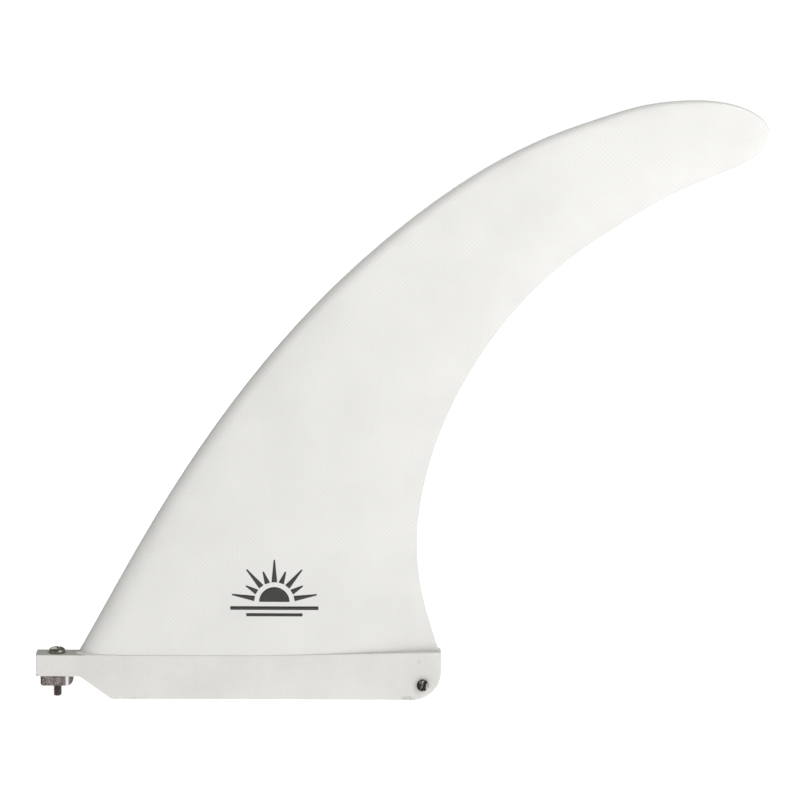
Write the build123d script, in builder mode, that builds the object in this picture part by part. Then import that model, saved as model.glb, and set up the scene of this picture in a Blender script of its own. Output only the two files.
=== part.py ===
"""Single fin for a longboard surfboard, with the hardware that holds it in a fin box.

Frame: millimetres, +X towards the trailing edge, +Y to the fin's left side seen from its
leading edge, +Z from the base towards the tip. The origin is on the mid-plane, on the
underside of the base, half-way along the base.
"""
from build123d import *
import math
import os

# Base
base_length = 166.0
base_thickness = 9.2
base_front_height = 18.7
base_rear_height = 20.4
base_rise_start_x = 6.0
base_edge_chamfer = 0.3
rear_corner_radius = 12.0
rear_top_radius = 1.5

# Front tab and the slope under it
tab_underside_z = 9.5
slope_top_x = -65.2
slope_bottom_x = -52.2
slope_blend_radius = 4.0

# Blade outline on the mid-plane, as (x, z) points
blade_foot_z = 18.0
tip_point = (213.6, 233.5)
leading_edge_points = [
    (-66.3, blade_foot_z),
    (-35.0, 74.0),
    (-3.5, 122.0),
    (32.7, 165.3),
    (74.6, 202.7),
    (124.4, 232.4),
    (153.8, 242.8),
    (185.5, 247.4),
]
leading_edge_start = (0.49, 0.87)
leading_edge_end = (1.0, 0.0)
upper_tip_controls = [(200.5, 247.4), (213.6, 241.6)]
trailing_edge_points = [
    (82.7, blade_foot_z),
    (76.5, 38.0),
    (72.9, 62.0),
    (77.2, 96.3),
    (88.4, 126.1),
    (107.1, 155.9),
    (137.2, 185.6),
    (168.5, 206.0),
    (198.4, 219.7),
]
trailing_edge_start = (-0.30, 1.0)
trailing_edge_end = (0.926, 0.378)
lower_tip_controls = [(206.0, 222.8), (213.6, 228.0)]

# Blade foil
foot_foil_thickness = 8.7
tip_foil_thickness = 3.4
foot_edge_thickness = 2.0
tip_edge_thickness = 1.1
nose_fraction = 0.075
tail_fraction = 0.42
nose_steps = 8
tail_steps = 6
foil_stations = 20
station_crowding = 1.6
last_station = 0.997
surface_tolerance = 0.01
flat_limit = 0.001
tip_rounding_power = 14

# Tongue of the blade's panel inside the base
tongue_front_x = -48.0
tongue_rear_x = 62.0
tongue_thickness = 5.0
tongue_depth = 11.0
tongue_corner_radius = 2.0

# Fin screw: No. 6-32 pan head
screw_x = -74.5
screw_diameter = 3.505
screw_head_diameter = 6.9
screw_head_height = 2.3
screw_head_crown_radius = 1.1
screw_length = 18.2
screw_point_chamfer = 0.5
recess_width = 1.05
recess_span = 3.7
recess_depth = 1.3
tab_hole_diameter = 4.3

# Fin plate, the nut under the tab
plate_length = 13.5
plate_width = 9.0
plate_thickness = 3.9
plate_lower_front_radius = 1.0
plate_lower_rear_radius = 2.6
plate_front_corner_radius = 1.4
plate_rear_corner_radius = 3.4
plate_bore_radius = 1.8

# Rear cross pin
pin_x = 75.4
pin_z = 6.6
pin_diameter = 4.76
pin_length = 12.6
pin_end_chamfer = 0.3
pin_slot_width = 0.7
pin_slot_depth = 0.35
pin_slot_angle = 55.0

base_front_x = -base_length / 2
base_rear_x = base_length / 2


def station_fractions():
    """Places along both edges, closer together towards the tip."""
    steps = range(foil_stations + 1)
    spread = [1 - (1 - step / foil_stations) ** station_crowding for step in steps]
    return [last_station * place for place in spread]


def foil_side(chord, thickness, edge_thickness):
    """Points of one side of the foil, from the nose to the blunt trailing edge."""
    half = thickness / 2
    half_edge = edge_thickness / 2
    nose_length = nose_fraction * chord
    tail_length = tail_fraction * chord
    tail_start = chord - tail_length
    points = []
    for step in range(nose_steps + 1):
        angle = math.pi / 2 * step / nose_steps
        points.append((nose_length * (1 - math.cos(angle)), half * math.sin(angle)))
    points.append(((nose_length + tail_start) / 2, half))
    for step in range(tail_steps + 1):
        angle = math.pi / 2 * step / tail_steps
        x = tail_start + tail_length * step / tail_steps
        points.append((x, half_edge + (half - half_edge) * math.cos(angle)))
    return points


def foil_station(nose, tail, fraction):
    """Points of the foil's +Y side on the plane that holds one chord and the Y direction."""
    chord = (tail - nose).length
    along = (tail - nose).normalized()
    taper = math.sqrt(1 - fraction**tip_rounding_power)
    thickness = taper * (
        foot_foil_thickness + (tip_foil_thickness - foot_foil_thickness) * fraction
    )
    edge = taper * (
        foot_edge_thickness + (tip_edge_thickness - foot_edge_thickness) * fraction
    )
    side_points = foil_side(chord, thickness, edge)
    return [nose + along * x + Vector(0, y, 0) for x, y in side_points]


def foil_solid(stations):
    """Solid between the two mirrored sides, closed along the trailing edge, foot and tip."""
    side = Face.make_surface_from_array_of_points(stations, tol=surface_tolerance)
    trailing = side.edges().filter_by(lambda edge: edge.center().Y > flat_limit)
    foot_edge = trailing.sort_by(Axis.Z)[0]
    tip_edge = trailing.sort_by(SortBy.LENGTH)[0]
    trailing_edge = trailing.sort_by(SortBy.LENGTH)[-1]
    faces = [side, side.mirror(Plane.XZ)]
    for edge in (foot_edge, tip_edge, trailing_edge):
        faces.append(Face.make_surface_from_curves(edge, edge.mirror(Plane.XZ)))
    return Solid(Shell(faces))


# Both edges of the blade, each from the foot to the end of the tip
with BuildLine(Plane.XZ) as leading_edge:
    Spline(*leading_edge_points, tangents=(leading_edge_start, leading_edge_end))
    Bezier(leading_edge_points[-1], *upper_tip_controls, tip_point)
with BuildLine(Plane.XZ) as trailing_edge:
    Spline(*trailing_edge_points, tangents=(trailing_edge_start, trailing_edge_end))
    Bezier(trailing_edge_points[-1], *lower_tip_controls, tip_point)

# Blade: foiled laminate, with the tongue that is bonded into the base
with BuildPart() as blade:
    stations = [
        foil_station(leading_edge.wire() @ fraction, trailing_edge.wire() @ fraction, fraction)
        for fraction in station_fractions()
    ]
    add(foil_solid(stations))
    with BuildSketch(Plane.XY.offset(blade_foot_z)):
        with Locations(((tongue_front_x + tongue_rear_x) / 2, 0)):
            Rectangle(tongue_rear_x - tongue_front_x, tongue_thickness)
    extrude(amount=-tongue_depth)
    tongue_ends = blade.edges().filter_by(Axis.Z).filter_by(
        lambda edge: edge.center().Z < blade_foot_z
    )
    fillet(tongue_ends, radius=tongue_corner_radius)
blade.part.label = "blade"

# Base: moulded block with the front tab, the slope under it and the round rear corner
with BuildPart() as base:
    with BuildSketch(Plane.XZ):
        with BuildLine():
            Polyline(
                (base_front_x, tab_underside_z),
                (base_front_x, base_front_height),
                (base_rise_start_x, base_front_height),
                (base_rear_x, base_rear_height),
                (base_rear_x, 0),
                (slope_bottom_x, 0),
                (slope_top_x, tab_underside_z),
                close=True,
            )
        make_face()
    extrude(amount=base_thickness / 2, both=True)
    across = base.edges().filter_by(Axis.Y)
    fillet(across.group_by(Axis.X)[-1].sort_by(Axis.Z)[0], radius=rear_corner_radius)
    rear_top = base.edges().filter_by(Axis.Y).group_by(Axis.X)[-1].sort_by(Axis.Z)[-1]
    fillet(rear_top, radius=rear_top_radius)
    slope_top = base.edges().filter_by(Axis.Y).sort_by_distance(
        Vector(slope_top_x, 0, tab_underside_z)
    )[0]
    fillet(slope_top, radius=slope_blend_radius)
    chamfer(base.faces().filter_by(Axis.Y).edges(), length=base_edge_chamfer)
    with Locations(Location((screw_x, 0, base_front_height))):
        Hole(radius=tab_hole_diameter / 2)
    with Locations(Plane.XZ.location * Location((pin_x, pin_z, 0))):
        Hole(radius=pin_diameter / 2)
    add(blade.part, mode=Mode.SUBTRACT)
base.part.label = "base"

# Fin screw
with BuildPart() as fin_screw:
    with BuildSketch(Plane.XY.offset(base_front_height)):
        with Locations((screw_x, 0)):
            Circle(screw_head_diameter / 2)
    extrude(amount=screw_head_height)
    fillet(fin_screw.edges().sort_by(Axis.Z)[-1], radius=screw_head_crown_radius)
    with BuildSketch(Plane.XY.offset(base_front_height)):
        with Locations((screw_x, 0)):
            Circle(screw_diameter / 2)
    extrude(amount=-screw_length)
    chamfer(fin_screw.edges().sort_by(Axis.Z)[0], length=screw_point_chamfer)
    with BuildSketch(Plane.XY.offset(base_front_height + screw_head_height)):
        with Locations((screw_x, 0)):
            Rectangle(recess_span, recess_width)
            Rectangle(recess_width, recess_span)
    extrude(amount=-recess_depth, mode=Mode.SUBTRACT)
fin_screw.part.label = "fin_screw"

# Fin plate: rounded below at both ends, and rounded in plan, more so at the rear
with BuildPart() as fin_plate:
    with BuildSketch(Plane.XZ) as plate_profile:
        with Locations((screw_x, tab_underside_z - plate_thickness / 2)):
            Rectangle(plate_length, plate_thickness)
        rear_lower = plate_profile.vertices().group_by(Axis.Y)[0].sort_by(Axis.X)[-1]
        fillet(rear_lower, radius=plate_lower_rear_radius)
        front_lower = plate_profile.vertices().group_by(Axis.Y)[0].sort_by(Axis.X)[0]
        fillet(front_lower, radius=plate_lower_front_radius)
    extrude(amount=plate_width / 2, both=True)
    with BuildSketch(Plane.XY.offset(tab_underside_z)) as plate_plan:
        with Locations((screw_x, 0)):
            Rectangle(plate_length, plate_width)
        fillet(plate_plan.vertices().group_by(Axis.X)[-1], radius=plate_rear_corner_radius)
        fillet(plate_plan.vertices().group_by(Axis.X)[0], radius=plate_front_corner_radius)
    extrude(amount=-plate_thickness, mode=Mode.INTERSECT)
    with Locations(Location((screw_x, 0, tab_underside_z))):
        Hole(radius=plate_bore_radius)
fin_plate.part.label = "fin_plate"

# Rear cross pin
with BuildPart() as rear_pin:
    with BuildSketch(Plane.XZ):
        with Locations((pin_x, pin_z)):
            Circle(pin_diameter / 2)
    extrude(amount=pin_length / 2, both=True)
    chamfer(rear_pin.edges().filter_by(GeomType.CIRCLE), length=pin_end_chamfer)
    for end in (-1, 1):
        slot_floor = end * (pin_length / 2 - pin_slot_depth)
        with BuildSketch(Plane.XZ.offset(slot_floor)):
            with Locations(Location((pin_x, pin_z), pin_slot_angle)):
                Rectangle(pin_diameter, pin_slot_width)
        extrude(amount=end * pin_slot_depth, mode=Mode.SUBTRACT)
rear_pin.part.label = "rear_pin"

os.makedirs("parts", exist_ok=True)
for piece in (blade, base, fin_screw, fin_plate, rear_pin):
    export_step(piece.part, f"parts/{piece.part.label}.step")
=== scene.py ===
"""Looks of the single fin: laminate, resin and steel, the printed mark, the threaded screw,
the resin bead round the blade's foot, and the floor, light and camera."""
import math

import bmesh
import bpy
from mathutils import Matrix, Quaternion, Vector
from mathutils.bvhtree import BVHTree


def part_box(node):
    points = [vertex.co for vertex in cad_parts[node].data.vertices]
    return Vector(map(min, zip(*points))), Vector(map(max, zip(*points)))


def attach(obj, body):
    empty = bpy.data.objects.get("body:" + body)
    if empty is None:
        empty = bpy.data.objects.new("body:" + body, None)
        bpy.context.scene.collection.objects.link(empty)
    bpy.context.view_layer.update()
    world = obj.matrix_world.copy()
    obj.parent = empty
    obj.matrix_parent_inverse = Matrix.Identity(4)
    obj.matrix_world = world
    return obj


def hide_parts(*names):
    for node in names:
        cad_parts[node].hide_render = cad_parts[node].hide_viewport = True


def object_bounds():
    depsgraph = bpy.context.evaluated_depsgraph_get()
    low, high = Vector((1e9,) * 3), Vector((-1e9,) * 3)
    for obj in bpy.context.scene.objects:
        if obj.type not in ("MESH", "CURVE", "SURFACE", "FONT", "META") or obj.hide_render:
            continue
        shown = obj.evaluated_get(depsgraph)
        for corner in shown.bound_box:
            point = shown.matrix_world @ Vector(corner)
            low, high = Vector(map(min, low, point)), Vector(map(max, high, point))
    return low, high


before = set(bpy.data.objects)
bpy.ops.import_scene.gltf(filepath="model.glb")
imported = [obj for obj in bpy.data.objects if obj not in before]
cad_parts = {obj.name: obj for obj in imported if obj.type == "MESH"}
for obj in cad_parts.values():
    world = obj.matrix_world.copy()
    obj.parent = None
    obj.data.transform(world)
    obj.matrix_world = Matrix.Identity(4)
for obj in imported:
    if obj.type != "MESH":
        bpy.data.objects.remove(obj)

CAD_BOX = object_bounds()
MM = 0.001

# Places and sizes taken from the CAD nodes
BASE_LOW, BASE_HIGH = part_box("base")
SCREW_LOW, SCREW_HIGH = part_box("fin_screw")
PLATE_LOW, PLATE_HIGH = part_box("fin_plate")
PIN_LOW, PIN_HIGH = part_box("rear_pin")
SCREW_AXIS = Vector(((SCREW_LOW.x + SCREW_HIGH.x) / 2, 0, 0))
PIN_AXIS = Vector(((PIN_LOW.x + PIN_HIGH.x) / 2, 0, (PIN_LOW.z + PIN_HIGH.z) / 2))

# Screw: No. 6-32 pan head with a cross recess
HEAD_RADIUS = (SCREW_HIGH.x - SCREW_LOW.x) / 2
HEAD_HEIGHT = 2.3 * MM
HEAD_RIM_HEIGHT = 0.55 * MM
HEAD_SEGMENTS = 96
HEAD_RINGS = 40
HEAD_CHAMFER = 0.1 * MM
HEAD_FULLNESS = 0.8
RECESS_ARM = 1.75 * MM
RECESS_HALF_WIDTH = 0.42 * MM
RECESS_DEPTH = 1.2 * MM
RECESS_WALL = 0.14 * MM
RECESS_RAMP = 0.7 * MM
RECESS_TURN = math.radians(24)
THREAD_RADIUS = 1.7525 * MM
THREAD_DEPTH = 0.4 * MM
THREAD_PITCH = 0.79375 * MM
THREAD_LENGTH = 9.4 * MM
THREAD_SEGMENTS = 40
THREAD_STEPS = 12
THREAD_CREST = 0.15
TIP_RADIUS = 0.7 * MM
# Height over which the painted shade on the thread below the tab fades in
THREAD_SHADE_FADE = 1.0 * MM

# Painted shade on the top face of the tab, in front of the blade's foot
TAB_TOP = 18.7 * MM
TAB_END = -64.0 * MM
TOP_SHADE_RISE = (TAB_TOP - 0.3 * MM, TAB_TOP - 0.1 * MM)
TOP_SHADE_FADE = (TAB_END + 3 * MM, TAB_END)
TOP_SHADE_SHARE = 0.9

# Scuffs on the base: centre, reach along each axis and strength
SCUFF_DEPTH = 3.0 * MM
SCUFFS = (
    (Vector((BASE_HIGH.x - 14.0 * MM, BASE_LOW.y, BASE_LOW.z + 0.8 * MM)), (3.6, 1.3), 0.65),
    (Vector((BASE_HIGH.x - 9.0 * MM, BASE_LOW.y, BASE_LOW.z + 16.5 * MM)), (1.2, 0.9), 0.30),
    (Vector((BASE_LOW.x + 38.0 * MM, BASE_LOW.y, BASE_LOW.z + 0.3 * MM)), (9.0, 0.8), 0.35),
    (Vector((BASE_LOW.x + 0.3 * MM, BASE_LOW.y, BASE_LOW.z + 9.9 * MM)), (1.3, 0.9), 0.70),
    (Vector((BASE_HIGH.x - 40.0 * MM, -BASE_LOW.y, BASE_LOW.z + 0.5 * MM)), (7.0, 1.0), 0.50),
)

# Plate: cast, with painted shade at its front end and a painted highlight strip where its smooth rear
# corner starts
PLATE_CORNER = 3.4 * MM
PLATE_FADE = 0.7 * MM
# Width of the painted highlight strip at the start of the rear corner
PLATE_HIGHLIGHT_WIDTH = 1.1 * MM
# Painted shade at the plate's front end fades in over this span
PLATE_FRONT_SHADE_FADE = (PLATE_LOW.x + 1.3 * MM, PLATE_LOW.x + 0.4 * MM)

# Printed mark: a half sun over two lines
MARK_CENTRE = Vector((14.7, 0, 41.2)) * MM
SUN_RADIUS = 6.2 * MM
RAY_START = 8.2 * MM
RAY_ENDS = (17.6 * MM, 13.4 * MM)
RAY_COUNT = 9
RAY_HALF_WIDTH = 1.15 * MM
RAY_TAPER = 0.75
SUN_CENTRE_SHARE = 0.02
MARK_LINES = ((36.0 * MM, 1.5 * MM, -2.6 * MM), (23.0 * MM, 1.3 * MM, -5.4 * MM))
MARK_STEP = 0.6 * MM
SUN_GRID = (40, 10)
RAY_GRID = (12, 3)
LINE_ROWS = 2
MARK_PROUD = 0.03 * MM
MARK_THICKNESS = 0.06 * MM

# Resin bead round the front of the blade's foot
BEAD_HEIGHT = 18.7 * MM
BEAD_CUT = 0.02 * MM
BEAD_RADIUS = 1.3 * MM
BEAD_MINIMUM = 0.05 * MM
BEAD_EDGE = 0.05 * MM
BEAD_SMALLEST_TURN = 0.01
BEAD_SINK = 0.2 * MM
BEAD_END = -40.0 * MM
BEAD_FADE = 18.0 * MM
BEAD_STEPS = 6
BEAD_SPACING = 0.3 * MM
WELD_DISTANCE = 0.005 * MM

# Cloth yarns and turned rings in millimetres, the weave value where yarns cross, and
# the directions of the fine marks
YARN_PITCH = 1.45
YARN_WAVER = 0.6
YARN_CROSSING = 0.8
PIN_RING_PITCH = 0.28
YARN_TURN = math.radians(45)
SCRATCH_TURN = math.radians(32)
SANDING_TURN = math.radians(4)
STREAK_TURN = math.radians(40)

# Sizes of each noise's blobs, in millimetres
LAMINATE_CLOUDS = 26
PEBBLE_SIZE = 0.9
SCRATCH_SIZE = 0.35
RESIN_CLOUDS = 14
SPECK_SIZE = 0.8
PIT_SIZE = 0.55
SANDING_SIZE = 0.3
SCUFF_SIZE = 0.5
TARNISH_SIZE = 1.3
STEEL_CLOUDS = 0.6
STEEL_GRAIN = 0.12
CAST_GRAIN = 0.42
CAST_LUMPS = 1.6
STREAK_SIZE = 0.9
INK_CLOUDS = 0.7
FLOOR_CLOUDS = 400

# Parts of a noise's range that a colour change is spread over
SOFT_MIDDLE = (0.35, 0.65)
WIDE_MIDDLE = (0.3, 0.7)
PEAKS = (0.66, 0.72)
PIT_RANGE = (0.28, 0.22)
SCUFF_RANGE = (0.42, 0.58)
TARNISH_RANGE = (0.46, 0.62)
CAST_GRAIN_RANGE = (0.38, 0.62)
LUMP_RANGE = (0.5, 0.75)
STREAK_RANGE = (0.53, 0.60)
THIN_INK_RANGE = (0.55, 0.75)

# Strongest share of each second colour
CLOTH_SHARE = 0.35
SCRATCH_SHARE = 0.18
SPECK_SHARE = 0.35
PIT_SHARE = 0.30
TARNISH_SHARE = 0.7
LUMP_SHARE = 0.4
PLATE_FRONT_SHADE_SHARE = 0.8
THIN_INK_SHARE = 0.4

# Depth of each relief, in millimetres
LAMINATE_RELIEF = 0.012
SCRATCH_RELIEF = -0.004
SANDING_RELIEF = 0.008
RESIN_RELIEF = 0.05
STEEL_RELIEF = 0.006
LUMP_RELIEF = 0.10
CAST_GRAIN_RELIEF = 0.09
RING_RELIEF = 0.008
INK_RELIEF = 0.01

# Roughness at the two ends of each surface's noise
LAMINATE_ROUGHNESS = (0.30, 0.42)
RESIN_ROUGHNESS = (0.38, 0.54)
SCREW_ROUGHNESS = (0.26, 0.44)
CAST_ROUGHNESS = (0.60, 0.34)
CORNER_ROUGHNESS = 0.20
PIN_ROUGHNESS = (0.5, 0.25)
INK_ROUGHNESS = (0.36, 0.50)

# Colours, as linear red, green and blue
LAMINATE_DULL = (0.72, 0.714, 0.69)
LAMINATE_BRIGHT = (0.757, 0.751, 0.727)
CLOTH = (0.655, 0.648, 0.622)
SCRATCH = (0.62, 0.62, 0.60)
RESIN_DULL = (0.665, 0.655, 0.622)
RESIN_BRIGHT = (0.70, 0.69, 0.662)
SPECK = (0.88, 0.88, 0.87)
PIT = (0.55, 0.54, 0.51)
SCUFF = (0.30, 0.295, 0.28)
# Painted shade colours for the tab's top face
TOP_SHADE_DARK = (0.32, 0.31, 0.274)
TOP_SHADE_PALE = (0.49, 0.481, 0.432)
STEEL_DARK = (0.25, 0.24, 0.20)
STEEL_PALE = (0.40, 0.385, 0.34)
TARNISH = (0.10, 0.09, 0.07)
# Painted shade colour of the thread below the tab
THREAD_SHADE = (0.15, 0.13, 0.125)
CAST_DARK = (0.05, 0.038, 0.036)
CAST_PALE = (0.33, 0.29, 0.28)
CAST_LUMP = (0.40, 0.37, 0.36)
# Painted shade colour at the plate's front end
PLATE_FRONT_SHADE = (0.03, 0.028, 0.027)
# Painted highlight strip on the plate's rear corner, and the dull rest of that corner
CORNER_DULL = (0.13, 0.12, 0.115)
CORNER_HIGHLIGHT = (0.62, 0.61, 0.60)
PIN_BLACK = (0.035, 0.031, 0.028)
PIN_BRIGHT = (0.36, 0.35, 0.33)
INK_SOLID = (0.024, 0.022, 0.021)
INK_THIN = (0.06, 0.056, 0.053)
FLOOR_DULL = (0.94, 0.94, 0.94)
FLOOR_BRIGHT = (0.96, 0.96, 0.96)
WHITE = (1.0, 1.0, 1.0, 1)

# Blender's wave texture repeats every pi / 10 of its scaled length
WAVE_UNIT = math.pi / 10

# Camera
VIEW_TARGET = Vector((65.65, 0, 124.61)) * MM
VIEW_DISTANCE = 1.854
VIEW_ELEVATION = math.radians(11.05)
VIEW_ROLL = math.radians(0.24)
VIEW_LENS = 205.65
SENSOR_WIDTH = 36.0

# Light and floor, in metres and watts
FLOOR_SIZE = 60.0
FLOOR_DROP = 0.05 * MM
FLOOR_GLOW = 0.78
SKY_LEFT = 0.22
SKY_RIGHT = 0.49
SKY_TOP_SHARE = 0.60
SKY_TOP_START = 0.25
SKY_TOP_END = 0.85
KEY_OFFSET = Vector((0.44, -0.54, 0.49))
KEY_SIZE = 0.45
KEY_POWER = 3.5
BACK_OFFSET = Vector((-0.45, 0.70, 0.60))
BACK_SIZE = 0.60
BACK_POWER = 2.2


class Surface:
    """A principled material and short calls that add nodes to it."""

    def __init__(self, name, roughness, metallic=0.0):
        self.material = bpy.data.materials.new(name)
        self.material.use_nodes = True
        self.tree = self.material.node_tree
        self.shader = self.tree.nodes["Principled BSDF"]
        self.shader.inputs["Roughness"].default_value = roughness
        self.shader.inputs["Metallic"].default_value = metallic
        self.place = self.tree.nodes.new("ShaderNodeTexCoord").outputs["Object"]

    def set_input(self, socket, value):
        """Links a socket to a socket, or stores a constant on it."""
        if isinstance(value, bpy.types.NodeSocket):
            self.tree.links.new(value, socket)
        else:
            socket.default_value = value

    def maths(self, operation, *values, clamp=False):
        node = self.tree.nodes.new("ShaderNodeMath")
        node.operation = operation
        node.use_clamp = clamp
        for socket, value in zip(node.inputs, values):
            self.set_input(socket, value)
        return node.outputs[0]

    def turned(self, turn, stretch=(1, 1, 1)):
        """Object position in millimetres, turned and then stretched."""
        node = self.tree.nodes.new("ShaderNodeMapping")
        node.vector_type = "POINT"
        node.inputs["Rotation"].default_value = turn
        node.inputs["Scale"].default_value = [part / MM for part in stretch]
        self.set_input(node.inputs["Vector"], self.place)
        return node.outputs[0]

    def noise(self, size, detail=2.0, stretch=(1, 1, 1), turn=(0, 0, 0)):
        """Noise from 0 to 1 whose blobs are about size millimetres across."""
        node = self.tree.nodes.new("ShaderNodeTexNoise")
        node.inputs["Scale"].default_value = 1 / size
        node.inputs["Detail"].default_value = detail
        self.set_input(node.inputs["Vector"], self.turned(turn, stretch))
        return node.outputs["Fac"]

    def yarns(self, pitch, turn, waver):
        """Soft bands across the given direction, like the yarns of a cloth."""
        node = self.tree.nodes.new("ShaderNodeTexWave")
        node.bands_direction = "X"
        node.inputs["Scale"].default_value = WAVE_UNIT / pitch
        node.inputs["Distortion"].default_value = waver
        node.inputs["Detail"].default_value = 1.0
        self.set_input(node.inputs["Vector"], self.turned((0, turn, 0)))
        return node.outputs["Fac"]

    def stretch_range(self, value, low, high, to_low=0.0, to_high=1.0):
        node = self.tree.nodes.new("ShaderNodeMapRange")
        for socket, number in zip(node.inputs, (value, low, high, to_low, to_high)):
            self.set_input(socket, number)
        return node.outputs[0]

    def near(self, centre, reach):
        """1 at a point, falling to 0 at the given reach along each axis."""
        shift = self.tree.nodes.new("ShaderNodeVectorMath")
        shift.operation = "SUBTRACT"
        self.set_input(shift.inputs[0], self.place)
        shift.inputs[1].default_value = centre
        scale = self.tree.nodes.new("ShaderNodeVectorMath")
        scale.operation = "DIVIDE"
        self.set_input(scale.inputs[0], shift.outputs[0])
        scale.inputs[1].default_value = reach
        length = self.tree.nodes.new("ShaderNodeVectorMath")
        length.operation = "LENGTH"
        self.set_input(length.inputs[0], scale.outputs[0])
        return self.stretch_range(length.outputs["Value"], 1.0, 0.0)

    def along(self, axis, start, end):
        """0 before a place on an axis, rising to 1 at the next."""
        parts = self.tree.nodes.new("ShaderNodeSeparateXYZ")
        self.set_input(parts.inputs[0], self.place)
        return self.stretch_range(parts.outputs[axis], start, end)

    def mix(self, share, first, second):
        """A colour between two, by share from 0 to 1."""
        node = self.tree.nodes.new("ShaderNodeMix")
        node.data_type = "RGBA"
        self.set_input(node.inputs[0], share)
        for socket, colour in zip((node.inputs[6], node.inputs[7]), (first, second)):
            linked = isinstance(colour, bpy.types.NodeSocket)
            self.set_input(socket, colour if linked else (*colour, 1))
        return node.outputs[2]

    def colour(self, value):
        self.set_input(self.shader.inputs["Base Color"], value)

    def roughness(self, value):
        self.set_input(self.shader.inputs["Roughness"], value)

    def bump(self, height, depth, strength=1.0):
        """Adds a relief of the given depth in millimetres to what is there already."""
        node = self.tree.nodes.new("ShaderNodeBump")
        node.inputs["Strength"].default_value = strength
        node.inputs["Distance"].default_value = depth * MM
        self.set_input(node.inputs["Height"], height)
        normal = self.shader.inputs["Normal"]
        if normal.is_linked:
            self.tree.links.new(normal.links[0].from_socket, node.inputs["Normal"])
        self.tree.links.new(node.outputs[0], normal)


def laminate():
    """White glass-cloth laminate under satin resin: cloth on the bias, cloudy and lightly scratched."""
    surface = Surface("glass_laminate", 0.36)
    yarns = [surface.yarns(YARN_PITCH, turn, YARN_WAVER) for turn in (YARN_TURN, -YARN_TURN)]
    weave = surface.maths("MULTIPLY", *yarns)
    clouds = surface.noise(LAMINATE_CLOUDS, 3)
    pebble = surface.noise(PEBBLE_SIZE, 2)
    scratches = surface.noise(SCRATCH_SIZE, 1, stretch=(1, 1, 0.02), turn=(0, SCRATCH_TURN, 0))
    scratch_mask = surface.stretch_range(scratches, *PEAKS)
    cloudiness = surface.stretch_range(clouds, *SOFT_MIDDLE)
    paint = surface.mix(cloudiness, LAMINATE_DULL, LAMINATE_BRIGHT)
    cloth_share = surface.stretch_range(weave, 0.0, YARN_CROSSING, 0.0, CLOTH_SHARE)
    cloth = surface.mix(cloth_share, paint, CLOTH)
    bright_share = surface.mix(surface.maths("MULTIPLY", scratch_mask, SCRATCH_SHARE), cloth, SCRATCH)
    surface.colour(bright_share)
    surface.roughness(surface.stretch_range(pebble, *WIDE_MIDDLE, *LAMINATE_ROUGHNESS))
    surface.bump(weave, LAMINATE_RELIEF)
    surface.bump(pebble, LAMINATE_RELIEF)
    surface.bump(scratch_mask, SCRATCH_RELIEF)
    return surface.material


def scuffed_resin(surface, clean):
    """The resin's colour with a scratchy grey scuff at each listed place."""
    marks = surface.noise(SCUFF_SIZE, 3, stretch=(0.4, 1, 1))
    scratchy = surface.stretch_range(marks, *SCUFF_RANGE)
    scuffed = clean
    for centre, (reach_x, reach_z), strength in SCUFFS:
        reach = (reach_x * MM, SCUFF_DEPTH, reach_z * MM)
        core = surface.stretch_range(surface.near(centre, reach), 0, 0.5)
        here = surface.maths("MULTIPLY", core, scratchy)
        scuffed = surface.mix(surface.maths("MULTIPLY", here, strength), scuffed, SCUFF)
    return scuffed


def resin():
    """Sanded off-white resin: small specks, sanding lines, grey scuffs and painted shade on the tab
    top.
    """
    surface = Surface("casting_resin", 0.45)
    clouds = surface.noise(RESIN_CLOUDS, 3)
    specks = surface.stretch_range(surface.noise(SPECK_SIZE, 1), *PEAKS)
    pits = surface.stretch_range(surface.noise(PIT_SIZE, 1), *PIT_RANGE)
    sanding = surface.noise(SANDING_SIZE, 1, stretch=(0.03, 1, 1), turn=(0, SANDING_TURN, 0))
    cloudiness = surface.stretch_range(clouds, *SOFT_MIDDLE)
    body = surface.mix(cloudiness, RESIN_DULL, RESIN_BRIGHT)
    pale = surface.mix(surface.maths("MULTIPLY", specks, SPECK_SHARE), body, SPECK)
    pitted = surface.mix(surface.maths("MULTIPLY", pits, PIT_SHARE), pale, PIT)
    scuffed = scuffed_resin(surface, pitted)
    # Painted shade: the tab's top face in front is darkened, for the little light that falls from above
    top = surface.along("Z", *TOP_SHADE_RISE)
    front = surface.along("X", *TOP_SHADE_FADE)
    painted_top_shade = surface.maths("MULTIPLY", surface.maths("MULTIPLY", top, front), TOP_SHADE_SHARE)
    shaded_top_colour = surface.mix(clouds, TOP_SHADE_DARK, TOP_SHADE_PALE)
    surface.colour(surface.mix(painted_top_shade, scuffed, shaded_top_colour))
    surface.roughness(surface.stretch_range(sanding, *WIDE_MIDDLE, *RESIN_ROUGHNESS))
    surface.bump(sanding, SANDING_RELIEF)
    surface.bump(clouds, RESIN_RELIEF)
    return surface.material


def polished_steel():
    """Stainless steel gone olive and blotchy, with painted shade making the thread below the tab nearly
    black.
    """
    surface = Surface("polished_steel", 0.25, metallic=1.0)
    tarnish = surface.stretch_range(surface.noise(TARNISH_SIZE, 3), *TARNISH_RANGE)
    grain = surface.noise(STEEL_GRAIN, 2, stretch=(1, 1, 0.2))
    steel = surface.mix(surface.noise(STEEL_CLOUDS, 2), STEEL_DARK, STEEL_PALE)
    blotched = surface.mix(surface.maths("MULTIPLY", tarnish, TARNISH_SHARE), steel, TARNISH)
    # Painted shade: the thread below the tab is coloured nearly black
    thread_top = SCREW_LOW.z + THREAD_LENGTH
    below_tab = surface.along("Z", thread_top, thread_top - THREAD_SHADE_FADE)
    surface.colour(surface.mix(below_tab, blotched, THREAD_SHADE))
    surface.roughness(surface.stretch_range(grain, *WIDE_MIDDLE, *SCREW_ROUGHNESS))
    surface.bump(grain, STEEL_RELIEF)
    return surface.material


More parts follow.
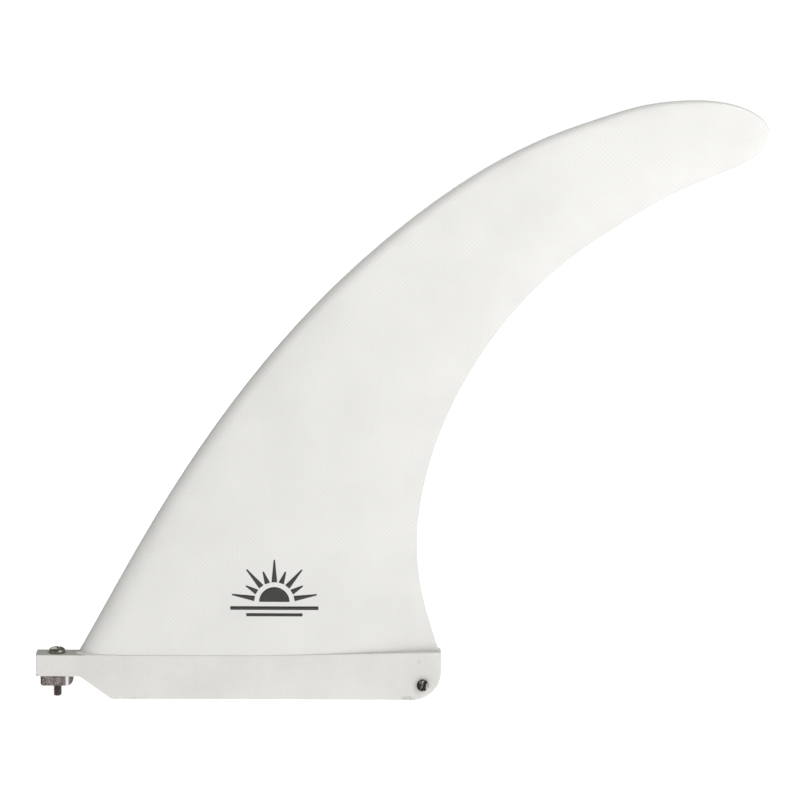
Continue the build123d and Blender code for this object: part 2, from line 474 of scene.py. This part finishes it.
def cast_steel():
    """Rough cast steel of the plate: brown-grey and grainy, with painted shade at the front and a
    smooth rear corner carrying a painted highlight strip.
    """
    surface = Surface("cast_steel", 0.45, metallic=1.0)
    grains = surface.noise(CAST_GRAIN, 3)
    lumps = surface.noise(CAST_LUMPS, 2)
    graininess = surface.stretch_range(grains, *CAST_GRAIN_RANGE)
    tint = surface.mix(graininess, CAST_DARK, CAST_PALE)
    lump_share = surface.stretch_range(lumps, *LUMP_RANGE, 0, LUMP_SHARE)
    rough_tint = surface.mix(lump_share, tint, CAST_LUMP)
    # Painted highlight: a bright strip where the rear corner starts, dull beyond it; the whole corner
    # is also made smooth
    highlight_start = PLATE_HIGH.x - PLATE_CORNER
    polish_and_highlight = surface.along("X", highlight_start, highlight_start + PLATE_FADE)
    highlight_strip_end = highlight_start + PLATE_HIGHLIGHT_WIDTH
    bright_share = surface.along("X", highlight_strip_end + PLATE_FADE, highlight_strip_end)
    steel = surface.mix(bright_share, CORNER_DULL, CORNER_HIGHLIGHT)
    # Painted shade at the plate's front end
    front_shade_mask = surface.along("X", *PLATE_FRONT_SHADE_FADE)
    front_shade_share = surface.maths("MULTIPLY", front_shade_mask, PLATE_FRONT_SHADE_SHARE)
    shaded = surface.mix(front_shade_share, rough_tint, PLATE_FRONT_SHADE)
    surface.colour(surface.mix(polish_and_highlight, shaded, steel))
    rough = surface.stretch_range(grains, *WIDE_MIDDLE, *CAST_ROUGHNESS)
    surface.roughness(surface.stretch_range(polish_and_highlight, 0, 1, rough, CORNER_ROUGHNESS))
    cast = surface.maths("SUBTRACT", 1.0, polish_and_highlight)
    surface.bump(surface.maths("MULTIPLY", lumps, cast), LUMP_RELIEF)
    surface.bump(surface.maths("MULTIPLY", grains, cast), CAST_GRAIN_RELIEF)
    return surface.material


def pin_steel():
    """Blackened steel of the cross pin: facing rings on its ends, worn bright in slanting streaks."""
    surface = Surface("pin_steel", 0.32, metallic=1.0)
    shift = surface.tree.nodes.new("ShaderNodeVectorMath")
    shift.operation = "SUBTRACT"
    surface.set_input(shift.inputs[0], surface.place)
    shift.inputs[1].default_value = PIN_AXIS
    rings = surface.tree.nodes.new("ShaderNodeTexWave")
    rings.wave_type = "RINGS"
    rings.rings_direction = "Y"
    rings.inputs["Scale"].default_value = WAVE_UNIT / (PIN_RING_PITCH * MM)
    surface.set_input(rings.inputs["Vector"], shift.outputs[0])
    streaks = surface.noise(STREAK_SIZE, 3, stretch=(1, 0.2, 0.35), turn=(0, STREAK_TURN, 0))
    bright_share = surface.stretch_range(streaks, *STREAK_RANGE)
    surface.colour(surface.mix(bright_share, PIN_BLACK, PIN_BRIGHT))
    surface.roughness(surface.stretch_range(bright_share, 0, 1, *PIN_ROUGHNESS))
    surface.bump(rings.outputs["Fac"], RING_RELIEF)
    return surface.material


def ink():
    """Black printing ink, thinner in places, with the cloth showing through as a faint grain."""
    surface = Surface("black_ink", 0.42)
    thin = surface.stretch_range(surface.noise(INK_CLOUDS, 3), *THIN_INK_RANGE)
    thin_share = surface.maths("MULTIPLY", thin, THIN_INK_SHARE)
    grain = surface.noise(PEBBLE_SIZE, 2)
    surface.colour(surface.mix(thin_share, INK_SOLID, INK_THIN))
    surface.roughness(surface.stretch_range(grain, *WIDE_MIDDLE, *INK_ROUGHNESS))
    surface.bump(grain, INK_RELIEF)
    return surface.material


def new_piece(name, bm, material, body):
    """Turns a bmesh into a smooth-shaded piece that rides on a body."""
    bmesh.ops.recalc_face_normals(bm, faces=bm.faces)
    mesh = bpy.data.meshes.new(name)
    bm.to_mesh(mesh)
    bm.free()
    mesh.shade_smooth()
    mesh.materials.append(material)
    piece = bpy.data.objects.new(name, mesh)
    bpy.context.scene.collection.objects.link(piece)
    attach(piece, body)
    return piece


def join_rings(bm, rings):
    """Quads between neighbouring closed rings, and a fan at each end."""
    for lower, upper in zip(rings, rings[1:]):
        for index, vertex in enumerate(lower):
            after = (index + 1) % len(lower)
            bm.faces.new((vertex, lower[after], upper[after], upper[index]))
    for ring in (rings[0], rings[-1]):
        centre = bm.verts.new(sum((vertex.co for vertex in ring), Vector()) / len(ring))
        for index, vertex in enumerate(ring):
            bm.faces.new((centre, vertex, ring[(index + 1) % len(ring)]))


def clamp(value):
    return max(0.0, min(1.0, value))


def recess_depth(x, y):
    """How deep the cross recess is at a point of the head's top."""
    along = x * math.cos(RECESS_TURN) + y * math.sin(RECESS_TURN)
    across = y * math.cos(RECESS_TURN) - x * math.sin(RECESS_TURN)

    def arm(u, v):
        wall = clamp((RECESS_HALF_WIDTH - abs(v)) / RECESS_WALL + 0.5)
        return wall * clamp((RECESS_ARM - abs(u)) / RECESS_RAMP)

    return RECESS_DEPTH * max(arm(along, across), arm(across, along))


def head_rings(bm):
    """Rings of the pan head from its underside over the rim and dome to the middle."""
    seat = SCREW_HIGH.z - HEAD_HEIGHT
    outline = [
        (THREAD_RADIUS, seat),
        (HEAD_RADIUS - HEAD_CHAMFER, seat),
        (HEAD_RADIUS, seat + HEAD_CHAMFER),
        (HEAD_RADIUS, seat + HEAD_RIM_HEIGHT),
    ]
    dome = HEAD_HEIGHT - HEAD_RIM_HEIGHT
    for step in range(1, HEAD_RINGS):
        angle = math.pi / 2 * step / HEAD_RINGS
        radius = HEAD_RADIUS * math.cos(angle) ** HEAD_FULLNESS
        outline.append((radius, seat + HEAD_RIM_HEIGHT + dome * math.sin(angle)))
    rings = []
    for radius, height in outline:
        ring = []
        for segment in range(HEAD_SEGMENTS):
            angle = math.tau * segment / HEAD_SEGMENTS
            x, y = radius * math.cos(angle), radius * math.sin(angle)
            sunk = recess_depth(x, y) if height > seat + HEAD_RIM_HEIGHT else 0
            ring.append(bm.verts.new(SCREW_AXIS + Vector((x, y, height - sunk))))
        rings.append(ring)
    return rings


def thread_radius(angle, height):
    """Radius of the threaded shank at a place, with flat crests and a rounded tip."""
    phase = ((height - THREAD_PITCH * angle / math.tau) / THREAD_PITCH) % 1.0
    flank = clamp((abs(phase - 0.5) * 2 - THREAD_CREST) / (1 - 2 * THREAD_CREST))
    radius = THREAD_RADIUS - THREAD_DEPTH * flank
    into_tip = clamp(1 - (height - SCREW_LOW.z) / TIP_RADIUS)
    rounded = THREAD_RADIUS - TIP_RADIUS * (1 - math.sqrt(1 - into_tip**2))
    return min(radius, rounded)


def shank_rings(bm):
    """Rings of the shank, from the tip up through the thread to the head's seat."""
    rows = round(THREAD_LENGTH / THREAD_PITCH * THREAD_STEPS)
    rings = []
    for row in range(rows + 1):
        height = SCREW_LOW.z + THREAD_LENGTH * row / rows
        ring = []
        for segment in range(THREAD_SEGMENTS):
            angle = math.tau * segment / THREAD_SEGMENTS
            radius = thread_radius(angle, height)
            offset = Vector((radius * math.cos(angle), radius * math.sin(angle), height))
            ring.append(bm.verts.new(SCREW_AXIS + offset))
        rings.append(ring)
    top = []
    for segment in range(THREAD_SEGMENTS):
        angle = math.tau * segment / THREAD_SEGMENTS
        offset = Vector((math.cos(angle), math.sin(angle), 0)) * THREAD_RADIUS
        top.append(bm.verts.new(SCREW_AXIS + offset + Vector((0, 0, SCREW_HIGH.z - HEAD_HEIGHT))))
    rings.append(top)
    return rings


def threaded_screw(material):
    """Pan head screw with a helical thread, in place of the plain one."""
    bm = bmesh.new()
    join_rings(bm, head_rings(bm))
    join_rings(bm, shank_rings(bm))
    piece = new_piece("threaded_screw", bm, material, "screw")
    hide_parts("fin_screw")
    return piece


def blade_tree():
    """Search tree of the blade's own faces, to lay the mark on them."""
    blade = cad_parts["blade"]
    return BVHTree.FromObject(blade, bpy.context.evaluated_depsgraph_get())


def on_blade(tree, x, z):
    """Point just proud of the blade's near side at the given place."""
    hit = tree.ray_cast(Vector((x, CAD_BOX[0].y * 2, z)), Vector((0, 1, 0)))[0]
    return hit - Vector((0, MARK_PROUD, 0))


def lay_patch(bm, tree, outline, columns, rows):
    """Grid of faces on the blade, where outline gives (x, z) for shares along and across."""
    grid = []
    for row in range(rows + 1):
        places = [outline(column / columns, row / rows) for column in range(columns + 1)]
        grid.append([bm.verts.new(on_blade(tree, x, z)) for x, z in places])
    for lower, upper in zip(grid, grid[1:]):
        for column in range(columns):
            corners = (lower[column], lower[column + 1], upper[column + 1], upper[column])
            bm.faces.new(corners)


def printed_mark(material):
    """Half sun with tapering rays over two lines, printed on the near side of the blade."""
    bm = bmesh.new()
    tree = blade_tree()
    centre_x, centre_z = MARK_CENTRE.x, MARK_CENTRE.z

    def half_disc(along, across):
        radius = SUN_RADIUS * max(across, SUN_CENTRE_SHARE)
        angle = math.pi * along
        return centre_x + radius * math.cos(angle), centre_z + radius * math.sin(angle)

    lay_patch(bm, tree, half_disc, *SUN_GRID)
    for ray in range(RAY_COUNT):
        angle = math.pi * (ray + 0.5) / RAY_COUNT
        end = RAY_ENDS[ray % 2]

        def tapering_ray(along, across):
            radius = RAY_START + (end - RAY_START) * along
            side = RAY_HALF_WIDTH * (1 - RAY_TAPER * along) * (2 * across - 1)
            x = centre_x + radius * math.cos(angle) - side * math.sin(angle)
            return x, centre_z + radius * math.sin(angle) + side * math.cos(angle)

        lay_patch(bm, tree, tapering_ray, *RAY_GRID)
    for length, height, drop in MARK_LINES:

        def line(along, across):
            return centre_x + length * (along - 0.5), centre_z + drop + height * (across - 0.5)

        lay_patch(bm, tree, line, round(length / MARK_STEP), LINE_ROWS)
    piece = new_piece("printed_mark", bm, material, "root")
    for face in piece.data.polygons:
        if face.normal.y > 0:
            face.flip()
    shell = piece.modifiers.new("thickness", "SOLIDIFY")
    shell.thickness = MARK_THICKNESS
    shell.offset = -1
    return piece


def foot_outline(height):
    """Points round the front of the blade's section at a height, from one side to the other."""
    bm = bmesh.new()
    bm.from_mesh(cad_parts["blade"].data)
    bmesh.ops.remove_doubles(bm, verts=bm.verts, dist=WELD_DISTANCE)
    everything = bm.verts[:] + bm.edges[:] + bm.faces[:]
    level = Vector((0, 0, height))
    cut = bmesh.ops.bisect_plane(bm, geom=everything, plane_co=level, plane_no=Vector((0, 0, 1)))
    points = [part.co.copy() for part in cut["geom_cut"] if isinstance(part, bmesh.types.BMVert)]
    bm.free()
    points = [point for point in points if point.x < BEAD_END]
    middle = Vector((BEAD_END, 0, height))
    return sorted(points, key=lambda point: math.atan2(point.y, middle.x - point.x))


def even_points(points, spacing):
    """The same line with points at an even spacing."""
    result = [points[0]]
    for start, end in zip(points, points[1:]):
        span = (end - start).length
        steps = max(1, round(span / spacing))
        result += [start.lerp(end, step / steps) for step in range(1, steps + 1)]
    return result


def foot_bead(material):
    """Concave resin bead where the blade's leading edge meets the top of the base."""
    height = BASE_LOW.z + BEAD_HEIGHT
    line = even_points(foot_outline(height + BEAD_CUT), BEAD_SPACING)
    tree = blade_tree()
    bm = bmesh.new()
    rings = []
    for index, point in enumerate(line):
        before, after = line[max(index - 1, 0)], line[min(index + 1, len(line) - 1)]
        outward = Vector((0, 0, 1)).cross(after - before).normalized()
        room = BASE_HIGH.y - BEAD_EDGE - abs(point.y)
        sideways = max(abs(outward.y), BEAD_SMALLEST_TURN)
        fade = clamp((BEAD_END - point.x) / BEAD_FADE)
        reach = max(BEAD_MINIMUM, min(BEAD_RADIUS * fade, room / sideways))
        foot = Vector((point.x, point.y, height))
        top = tree.find_nearest(foot + Vector((0, 0, reach)))[0]
        places = []
        for step in range(BEAD_STEPS + 1):
            angle = math.pi / 2 * step / BEAD_STEPS
            out = outward * reach * (1 - math.sin(angle))
            places.append(foot + out + (top - foot) * (1 - math.cos(angle)))
        inward = outward * -BEAD_SINK
        down = Vector((0, 0, -BEAD_SINK))
        places += [top + inward, foot + inward + down, places[0] + down]
        rings.append([bm.verts.new(place) for place in places])
    join_rings(bm, rings)
    return new_piece("foot_bead", bm, material, "root")


def finish_cad_nodes(materials):
    """Gives each CAD node that is shown its finished material."""
    for name, material in materials.items():
        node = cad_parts[name]
        node.data.materials.clear()
        node.data.materials.append(material)


def pale_floor():
    """Wide pale floor just under the base, which glows a little like a light table."""
    bm = bmesh.new()
    bmesh.ops.create_grid(bm, x_segments=1, y_segments=1, size=FLOOR_SIZE / 2)
    mesh = bpy.data.meshes.new("floor")
    bm.to_mesh(mesh)
    bm.free()
    floor = bpy.data.objects.new("floor", mesh)
    floor.location.z = CAD_BOX[0].z - FLOOR_DROP
    surface = Surface("pale_floor", 0.9)
    surface.colour(surface.mix(surface.noise(FLOOR_CLOUDS, 1), FLOOR_DULL, FLOOR_BRIGHT))
    surface.shader.inputs["Emission Color"].default_value = WHITE
    surface.shader.inputs["Emission Strength"].default_value = FLOOR_GLOW
    mesh.materials.append(surface.material)
    bpy.context.scene.collection.objects.link(floor)


def soft_lamp(name, offset, size, power):
    """Round area lamp at an offset from the middle of the view, facing it."""
    light = bpy.data.lights.new(name, "AREA")
    light.shape = "DISK"
    light.size = size
    light.energy = power
    lamp = bpy.data.objects.new(name, light)
    lamp.location = VIEW_TARGET + offset
    lamp.rotation_mode = "QUATERNION"
    lamp.rotation_quaternion = (-offset).to_track_quat("-Z", "Y")
    bpy.context.scene.collection.objects.link(lamp)


def soft_light():
    """A soft key on the right and a soft back light, in a studio dimmer on the left and overhead."""
    soft_lamp("key", KEY_OFFSET, KEY_SIZE, KEY_POWER)
    soft_lamp("back", BACK_OFFSET, BACK_SIZE, BACK_POWER)
    world = bpy.data.worlds.new("studio")
    world.use_nodes = True
    nodes, links = world.node_tree.nodes, world.node_tree.links
    direction = nodes.new("ShaderNodeTexCoord")
    parts = nodes.new("ShaderNodeSeparateXYZ")
    links.new(direction.outputs["Generated"], parts.inputs[0])
    ranges = (
        ("X", -1.0, 1.0, SKY_LEFT, SKY_RIGHT),
        ("Z", SKY_TOP_START, SKY_TOP_END, 1.0, SKY_TOP_SHARE),
    )
    strength = nodes.new("ShaderNodeMath")
    strength.operation = "MULTIPLY"
    for socket, (axis, *numbers) in zip(strength.inputs, ranges):
        level = nodes.new("ShaderNodeMapRange")
        links.new(parts.outputs[axis], level.inputs["Value"])
        for place, number in enumerate(numbers, start=1):
            level.inputs[place].default_value = number
        links.new(level.outputs[0], socket)
    links.new(strength.outputs[0], nodes["Background"].inputs["Strength"])
    nodes["Background"].inputs["Color"].default_value = WHITE
    bpy.context.scene.world = world


def place_camera():
    """Long lens in front of the fin, looking slightly down on it."""
    data = bpy.data.cameras.new("camera")
    data.sensor_width = SENSOR_WIDTH
    data.lens = VIEW_LENS
    camera = bpy.data.objects.new("camera", data)
    back = Vector((0, -math.cos(VIEW_ELEVATION), math.sin(VIEW_ELEVATION)))
    camera.location = VIEW_TARGET + back * VIEW_DISTANCE
    camera.rotation_mode = "QUATERNION"
    roll = Quaternion((0, 0, 1), VIEW_ROLL)
    camera.rotation_quaternion = (-back).to_track_quat("-Z", "Y") @ roll
    bpy.context.scene.collection.objects.link(camera)
    bpy.context.scene.camera = camera


place_camera()
pale_floor()
soft_light()
bpy.context.scene.view_settings.view_transform = "Standard"
glass_laminate = laminate()
finish_cad_nodes(
    {"blade": glass_laminate, "base": resin(), "fin_plate": cast_steel(), "rear_pin": pin_steel()}
)
foot_bead(glass_laminate)
threaded_screw(polished_steel())
printed_mark(ink())
